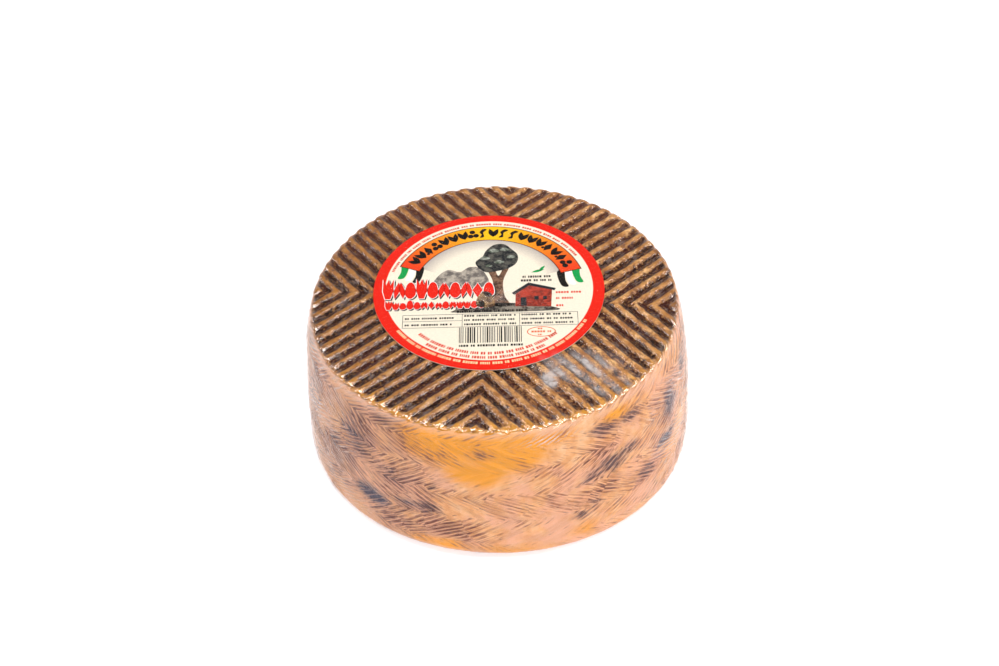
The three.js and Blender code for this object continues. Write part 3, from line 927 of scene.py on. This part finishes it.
paper_stock = offset_ink("coated_cream_paper", "#EFE4D0")
black_ink = offset_ink("black_ink", "#15110F")
white_ink = offset_ink("bare_white_paper", "#F6F3EE")
dark_ink = offset_ink("dark_slate_ink", "#23262B")
red_ink = offset_ink("red_ink", "#E2200C")
label = paper.piece("label_paper", paper_stock)
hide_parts("top_label")
banner_ink = offset_ink("sunset_ink", "#F6BE14", ("#F08A1C", "#E8431A"))
for name, ink, material in (
        ("label_red_border", red, red_ink), ("label_border_print", pale, offset_ink("pale_ink", "#F8CFA0")),
        ("label_fine_red_print", fine_red, offset_ink("thin_red_ink", "#D8452E")),
        ("label_banner_outline", banner_edge, offset_ink("brown_ink", "#5A2A14")),
        ("label_banner", banner, banner_ink), ("label_black_print", black, black_ink),
        ("label_banner_shadow", under_banner, offset_ink("shadow_ink", "#B9AEA6", faded="#EFE4D0")),
        ("label_green_ribbons", green, offset_ink("green_ink", "#129A4C")),
        ("label_white_ribbons", white, white_ink), ("label_black_ribbons", ribbon_black, black_ink),
        ("label_hill", slate, offset_ink("hill_ink", "#6B645F", painted="#B5AA9C")),
        ("label_ground_shadow", shadow, offset_ink("ground_ink", "#2E2A28", painted="#8F8678")),
        ("label_oak_crown", crown, offset_ink("crown_ink", "#1D2024", painted="#59564F")),
        ("label_oak_leaves", olive, offset_ink("leaf_ink", "#4C5546", painted="#A3A69A")),
        ("label_oak_trunk", trunk, offset_ink("bark_ink", "#3E2A22", painted="#8A6650")),
        ("label_barn_walls", barn, offset_ink("barn_ink", "#B8402F", painted="#7C2C22")),
        ("label_barn_roof", roof, dark_ink),
        ("label_hay_stack", hay, offset_ink("hay_ink", "#4E3626", painted="#A5825A")),
        ("label_frieze_shadow", frieze_dark, black_ink),
        ("label_frieze_outline", frieze_white, white_ink), ("label_frieze", frieze_red, red_ink),
        ("label_stamp", stamp, offset_ink("orange_ink", "#E06A3A"))):
    ink.piece(name, material)

# The film: one sheet of clear shrink film drawn tight over the wheel and the label. It bridges the grooves,
# sags a little between the ridges, wrinkles on the side, and has turned milky where it lost contact.
FILM_GAP = 0.3
SAG = 0.75
CRUMPLE = 0.16
CREASE = 0.25
# Milky spots on the top: place, half width, half length, strength, and how far it runs over the crests.
HAZE = [(33, -41, 15, 8, 0.75, 0.12), (20.5, -47.5, 3.2, 5, 1.1, 0.8), (24, -38, 4, 3, 0.8, 0.6),
        (44, -52, 12, 6, 0.5, 0.0)]

film_skin = Skin(steps=90, hidden=3, seen=26, base_seen=5, side_levels=40)
spots = film_skin.points
face = film_skin.fields["face"]
base = film_skin.fields["base"] > 0
side = 1 - face
sag = smooth(0.6, 2.4, ridges(film_skin, 1))
haze = np.zeros(len(spots))
for x, y, half_width, half_length, force, over in HAZE:
    away = ((spots[:, 0] - x) / half_width) ** 2 + ((spots[:, 1] - y) / half_length) ** 2
    haze = np.maximum(haze, force * (over + (1 - over) * sag) * np.exp(-away ** 2))
haze = np.clip(haze * (1 + 0.5 * wander(spots, 3, 41)), 0, 1) * face * ~base
gathered = smooth(71.5, 74.5, film_skin.radius) * smooth(66, 69, film_skin.fields["height"])
from_label = np.hypot(spots[:, 0] - LABEL_CENTRE[0], spots[:, 1] - LABEL_CENTRE[1])
on_paper = smooth(PAPER_RADIUS + 1.8, PAPER_RADIUS + 0.3, from_label) * ~base * face
sheet = FILM_GAP - SAG * sag * face * (1 - 0.7 * haze) + CRUMPLE * wander(spots, 1.7, 42) * face
lift = PAPER_TOP + 6 * INK + 0.05 - WHEEL_HEIGHT
sheet = sheet * (1 - on_paper) + on_paper * (lift + 0.02 * wander(spots, 7, 43))
creased = 1 - np.abs(wander(spots * (1, 1, 0.45), 5.5, 44)) * 3
wrinkles = 0.12 * wander(spots, 1.8, 45) + CREASE * np.maximum(creased, 0) ** 2
sheet += side * (0.2 + unevenness(film_skin) + wrinkles)
sheet = np.where(base, -0.1, sheet)
low = smooth(0.0, FOOT_ROUND, film_skin.fields["height"]) * (1 - base) + base
sheet = sheet * low

# Milk on the side: on the flanks, where it is also a painted reflection of the white room, and in one band
# below the front of the rim.
sideways = smooth(0.6, 0.97, np.abs(np.cos(film_skin.angle)))
veil_and_sheen = side * sideways * (0.3 + 0.7 * smooth(-0.3, 0.4, wander(spots * (1, 1, 0.6), 7, 46)))
band = np.angle(np.exp(1j * (film_skin.angle - math.radians(-77))))
veil_and_sheen += 1.3 * side * np.exp(-(band * MARK_RADIUS / 11) ** 2 - ((spots[:, 2] - 63.5) / 2.6) ** 2)
film = film_skin.mesh("shrink_film", sheet, {"haze": haze, "veil_and_sheen": veil_and_sheen, "gathered": gathered})
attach(film, "root")

# Clear shrink film, blown and heat-shrunk: nearly invisible face on, mirror-bright at a glance, with small
# crumples that break the highlights, and a milky bloom where it has lifted.
clear, tree = new_material("clear_shrink_film")
where = add(tree, "TexCoord", out="Object")
crumple = add(tree, "TexNoise", {"Vector": where, "Scale": 1 / (1.6 * MM), "Detail": 3, "Roughness": 0.6})
strand, level = strands(tree, where)
strand = add(tree, "Math", {0: strand, 1: 0.5}, operation="ADD")
threads = lines(tree, strand, level, 1.0, 6.0, 0.34)

# Gloss: bright at a glance and along the pleats, and brighter where the film is gathered over the rim.
bump = add(tree, "Bump", {"Strength": 0.6, "Distance": 0.38 * MM, "Height": crumple})
bump = add(tree, "Bump", {"Strength": 0.6, "Distance": 0.1 * MM, "Height": threads, "Normal": bump})
pleated = add(tree, "Bump", {"Strength": 0.7, "Distance": 0.2 * MM, "Height": threads})
tilt = add(tree, "LayerWeight", {"Blend": 0.5, "Normal": pleated}, "Facing")
mirror = add(tree, "Math", {0: tilt, 1: 6.0}, operation="POWER")
mirror = add(tree, "Math", {0: mirror, 1: 0.6, 2: 0.036}, operation="MULTIPLY_ADD")
doubled = add(tree, "Attribute", out="Fac", attribute_name="gathered")
mirror = add(tree, "Math", {0: doubled, 1: 0.15, 2: mirror}, operation="MULTIPLY_ADD")

# Milk: a bloom in streaks on the top, and on the side along the pleats, where the white is partly a painted
# reflection of the white room.
streak = add(tree, "TexNoise", {"Vector": where, "Scale": 1 / (3 * MM), "Detail": 4, "Roughness": 0.7})
bloom = add(tree, "Attribute", out="Fac", attribute_name="haze")
side_milk_and_sheen = add(tree, "Attribute", out="Fac", attribute_name="veil_and_sheen")
streak = add(tree, "MapRange", {0: streak, 1: 0.35, 2: 0.65, 3: 0.25, 4: 0.75})
bloom = add(tree, "Math", {0: bloom, 1: streak}, operation="MULTIPLY")
bloom = add(tree, "Math", {0: bloom, 1: 1.1}, operation="MULTIPLY")
ridge = add(tree, "MapRange", {0: threads, 1: 0.36, 2: 0.52})
side_milk_and_sheen = add(tree, "Math", {0: side_milk_and_sheen, 1: ridge}, operation="MULTIPLY")
milk_and_sheen = add(tree, "Math", {0: side_milk_and_sheen, 1: 0.48, 2: bloom}, operation="MULTIPLY_ADD", use_clamp=True)
through = add(tree, "BsdfTransparent", {"Color": srgb("#FAFAFA")})
milk_and_sheen_white = add(tree, "BsdfDiffuse", {"Color": srgb("#DCD4D2"), "Normal": bump})
body = add(tree, "MixShader", {0: milk_and_sheen, 1: through, 2: milk_and_sheen_white})
gloss = add(tree, "BsdfGlossy", {"Color": srgb("#FFF0E6"), "Roughness": 0.16, "Normal": bump})
add(tree, "OutputMaterial", {"Surface": add(tree, "MixShader", {0: mirror, 1: body, 2: gloss})}, None)
film.data.materials.append(clear)

# The stand: a plain table of lit white acrylic in a white room, as for a catalogue picture. The light from
# below takes the wheel's shadow away, and the noise gives the sheet a faint unevenness.
floor_mesh = bpy.data.meshes.new("floor")
floor_mesh.from_pydata([(-3, -3, 0), (3, -3, 0), (3, 3, 0), (-3, 3, 0)], [], [(0, 1, 2, 3)])
floor = bpy.data.objects.new("floor", floor_mesh)
bpy.context.collection.objects.link(floor)
table, tree = new_material("lit_white_acrylic")
grain = add(tree, "TexNoise", {"Vector": add(tree, "TexCoord", out="Object"), "Scale": 1 / (60 * MM)})
paint = add(tree, "ValToRGB", {0: grain}, stops=((0.3, "#D7DADF"), (0.7, "#DDE0E5")))
glow = add(tree, "Emission", {"Color": paint, "Strength": 0.8})
surface = add(tree, "AddShader", {0: add(tree, "BsdfDiffuse", {"Color": paint}), 1: glow})
add(tree, "OutputMaterial", {"Surface": surface}, None)
floor_mesh.materials.append(table)

room = bpy.data.worlds.new("white_room")
bpy.context.scene.world = room
room.use_nodes = True
room.node_tree.nodes.clear()
ray = add(room.node_tree, "TexCoord", out="Generated")
upward = add(room.node_tree, "SeparateXYZ", {0: ray}, 2)
wall = add(room.node_tree, "MapRange", {0: upward, 1: 0.3, 2: 0.6, 3: 0.85, 4: 0.11})
sky = add(room.node_tree, "Background", {"Color": (1, 1, 1, 1), "Strength": wall})
add(room.node_tree, "OutputWorld", {"Surface": sky}, None)


# The lamps: square soft boxes round the wheel. The small ones are for the glints in the film.
def soft_box(name, place, size, power):
    """A soft light that faces the wheel: its place and side in metres, and its power in watts."""
    lamp = bpy.data.lights.new(name, "AREA")
    lamp.shape = "SQUARE"
    lamp.size = size
    lamp.energy = power
    shown = bpy.data.objects.new(name, lamp)
    shown.location = place
    shown.rotation_euler = (Vector((0, 0, 0.04)) - Vector(place)).to_track_quat("-Z", "Y").to_euler()
    bpy.context.collection.objects.link(shown)


soft_box("overhead_box", (0.1, -0.15, 1.5), 0.45, 12.0)
soft_box("left_sparkle", (-0.64, 0.5, 1.27), 0.24, 2.6)
soft_box("right_sparkle", (0.49, 0.26, 1.38), 0.28, 4.0)
soft_box("left_box", (-1.0, 0.3, 1.1), 0.35, 3.0)
soft_box("right_box", (0.97, -0.02, 1.07), 0.5, 5.0)
soft_box("front_box", (0.35, -1.3, 0.6), 0.6, 5.0)

# The camera: a long lens from the front, at about 43 degrees above the table, held a little askew, as the
# photo was taken.
CAMERA_AT = Vector((1.65, -517.2, 536.1)) * MM
ELEVATION = math.radians(43.17)
ROLL = math.radians(-2.06)
back = Vector((0, -math.cos(ELEVATION), math.sin(ELEVATION)))
right = Vector((1, 0, 0))
up = back.cross(right)
across = math.cos(ROLL) * right + math.sin(ROLL) * up
along = -math.sin(ROLL) * right + math.cos(ROLL) * up
lens = bpy.data.cameras.new("camera")
lens.sensor_width = 36
lens.lens = 61.26
camera = bpy.data.objects.new("camera", lens)
turned = Matrix((across, along, back)).transposed().to_4x4()
camera.matrix_world = Matrix.Translation(CAMERA_AT) @ turned
bpy.context.collection.objects.link(camera)
bpy.context.scene.camera = camera
bpy.context.scene.view_settings.view_transform = "Standard"
